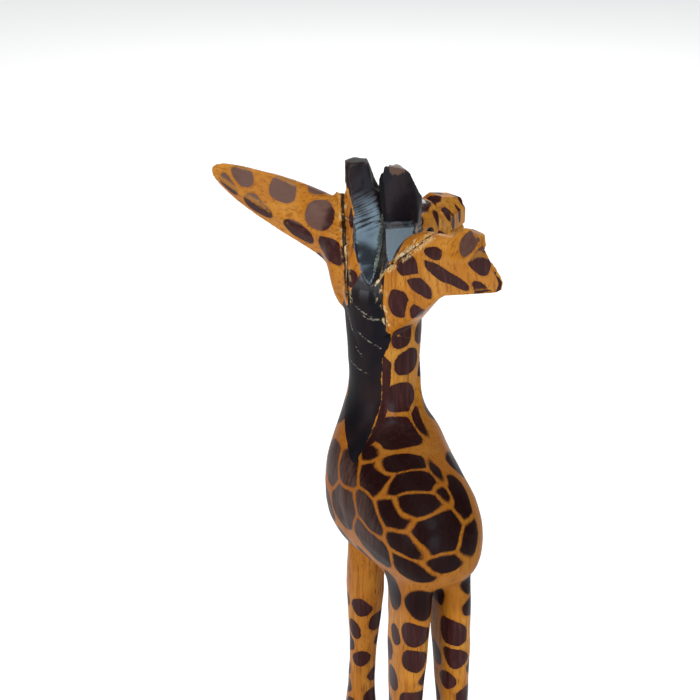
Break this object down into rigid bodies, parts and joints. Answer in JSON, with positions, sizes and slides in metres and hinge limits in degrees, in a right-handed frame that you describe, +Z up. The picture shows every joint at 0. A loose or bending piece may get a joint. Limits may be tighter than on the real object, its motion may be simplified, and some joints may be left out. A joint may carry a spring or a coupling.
{
  "type": "carved giraffe statue",
  "caption": "Standing giraffe carved in wood, head turned to its right, with glued-on ears, short horns and a painted hide pattern.",
  "frame": {"origin": "bottom centre of the whole statue's box, on the plane of the four soles", "axes": "+Z up, -Y the way the body faces, +X to the giraffe's left"},
  "size_m": [0.0776, 0.11, 0.2901],
  "materials": {
    "painted_wood": "honey varnished hardwood with dark maroon painted patches, high gloss",
    "blackened_wood": "blackened and varnished hardwood, high gloss",
    "bare_wood": "bare hardwood dowel",
    "wood_filler": "dried glue and sawdust filler, rough"
  },
  "bodies": {
    "root": {"trunk": "painted_wood", "left_ear": "painted_wood", "right_ear": "painted_wood", "left_ear_dowel": "bare_wood", "right_ear_dowel": "bare_wood", "left_horn": "blackened_wood", "right_horn": "blackened_wood", "horn_seam_filler": "wood_filler", "left_ear_seam_filler": "wood_filler", "right_ear_seam_filler": "wood_filler"}
  },
  "joints": []
}
